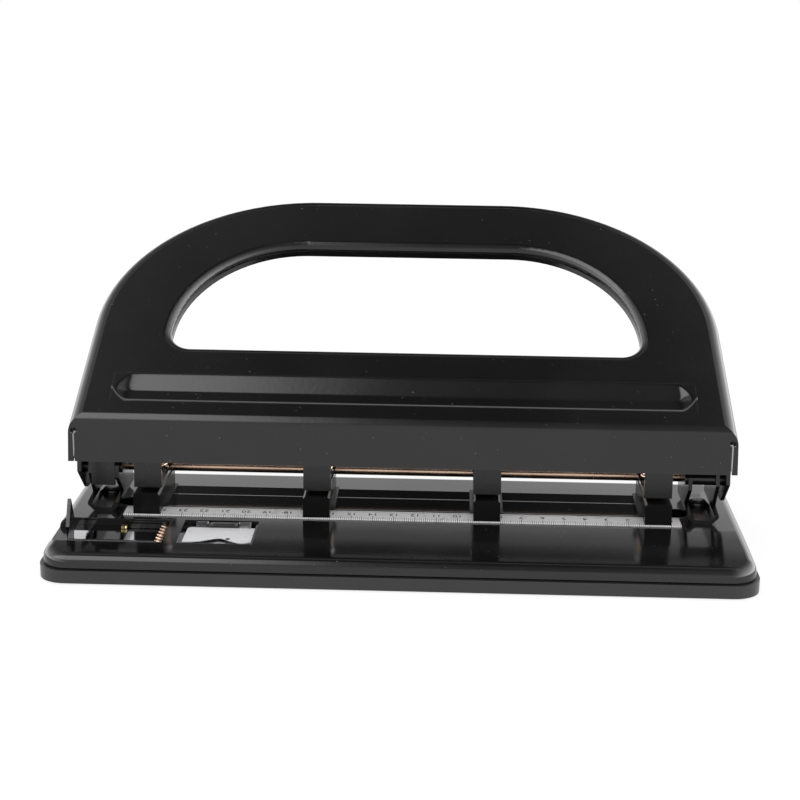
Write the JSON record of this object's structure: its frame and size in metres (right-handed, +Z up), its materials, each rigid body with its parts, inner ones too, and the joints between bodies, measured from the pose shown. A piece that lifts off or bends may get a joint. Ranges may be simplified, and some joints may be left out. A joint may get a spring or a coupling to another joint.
{
  "type": "lever_hole_punch",
  "caption": "Desk lever punch with D-shaped black steel handle, several spring-return punch towers, ruler, sliding paper gauge and hinged chip tray",
  "frame": {"origin": "Under the middle of the whole object's bounding box, on the surface it stands on", "axes": "+X along the ruler to the right seen from the front, -Y toward the user who feeds paper, +Z up"},
  "size_m": [0.3228, 0.1676, 0.1483],
  "materials": {
    "black_plastic": "satin",
    "foot_rubber": "matte",
    "black_enamel": "gloss",
    "black_steel": "semi-gloss",
    "zinc_steel": "satin",
    "copper_plate": "polished",
    "rivet_brass": "polished",
    "ruler_paint": "satin",
    "bright_chrome": "polished"
  },
  "bodies": {
    "base": {"base_shell": "black_enamel", "ruler_strip": "ruler_paint", "die_block_1": "black_steel", "die_block_2": "black_steel", "die_block_3": "black_steel", "die_block_4": "black_steel", "punch_guide_1": "black_steel", "punch_guide_2": "black_steel", "punch_guide_3": "black_steel", "punch_guide_4": "black_steel", "back_stop_rod": "copper_plate", "tower_screws": "zinc_steel", "left_end_bracket": "black_steel", "right_end_bracket": "black_steel", "left_bracket_cover": "black_steel", "bracket_rivets": "black_steel", "gauge_channel": "black_enamel", "gauge_guide_rivet": "rivet_brass", "format_plate": "ruler_paint", "window_tabs": "zinc_steel", "gauge_detent_spring": "copper_plate", "tray_hinge_pins": "zinc_steel", "return_spring_1": "copper_plate", "return_spring_2": "copper_plate", "return_spring_3": "copper_plate", "return_spring_4": "copper_plate"},
    "tray": {"chip_tray": "black_plastic", "tray_feet": "foot_rubber"},
    "handle": {"handle_shell": "black_enamel", "press_bar": "zinc_steel", "pivot_pins": "black_steel"},
    "gauge": {"gauge_strip": "bright_chrome", "gauge_stop": "black_steel"},
    "pin_1": {"punch_pin_1": "zinc_steel"},
    "pin_2": {"punch_pin_2": "zinc_steel"},
    "pin_3": {"punch_pin_3": "zinc_steel"},
    "pin_4": {"punch_pin_4": "zinc_steel"}
  },
  "joints": [
    {"name": "handle_pivot", "type": "hinge", "parent": "base", "child": "handle", "pos_m": [0, -0.01626, 0.035], "axis": [-1, 0, 0], "range_deg": [0, 34]},
    {"name": "tray_hinge", "type": "hinge", "parent": "base", "child": "tray", "pos_m": [0, 0.04474, 0.0072], "axis": [1, 0, 0], "range_deg": [0, 60]},
    {"name": "gauge_slide", "type": "slide", "parent": "base", "child": "gauge", "axis": [-1, 0, 0], "range_m": [0, 0.056]},
    {"name": "pin_slide_1", "type": "slide", "parent": "base", "child": "pin_1", "axis": [0, 0, -1], "range_m": [0, 0.0083], "stiffness_N_per_m": 800, "springref_m": -0.008, "deforming": ["return_spring_1"]},
    {"name": "pin_slide_2", "type": "slide", "parent": "base", "child": "pin_2", "axis": [0, 0, -1], "range_m": [0, 0.0083], "stiffness_N_per_m": 800, "springref_m": -0.008, "deforming": ["return_spring_2"]},
    {"name": "pin_slide_3", "type": "slide", "parent": "base", "child": "pin_3", "axis": [0, 0, -1], "range_m": [0, 0.0083], "stiffness_N_per_m": 800, "springref_m": -0.008, "deforming": ["return_spring_3"]},
    {"name": "pin_slide_4", "type": "slide", "parent": "base", "child": "pin_4", "axis": [0, 0, -1], "range_m": [0, 0.0083], "stiffness_N_per_m": 800, "springref_m": -0.008, "deforming": ["return_spring_4"]}
  ],
  "couplings": [
    {"joint": "pin_slide_1", "follows": "handle_pivot", "m_per_rad": 0.013818},
    {"joint": "pin_slide_2", "follows": "handle_pivot", "m_per_rad": 0.013818},
    {"joint": "pin_slide_3", "follows": "handle_pivot", "m_per_rad": 0.013818},
    {"joint": "pin_slide_4", "follows": "handle_pivot", "m_per_rad": 0.013818}
  ]
}
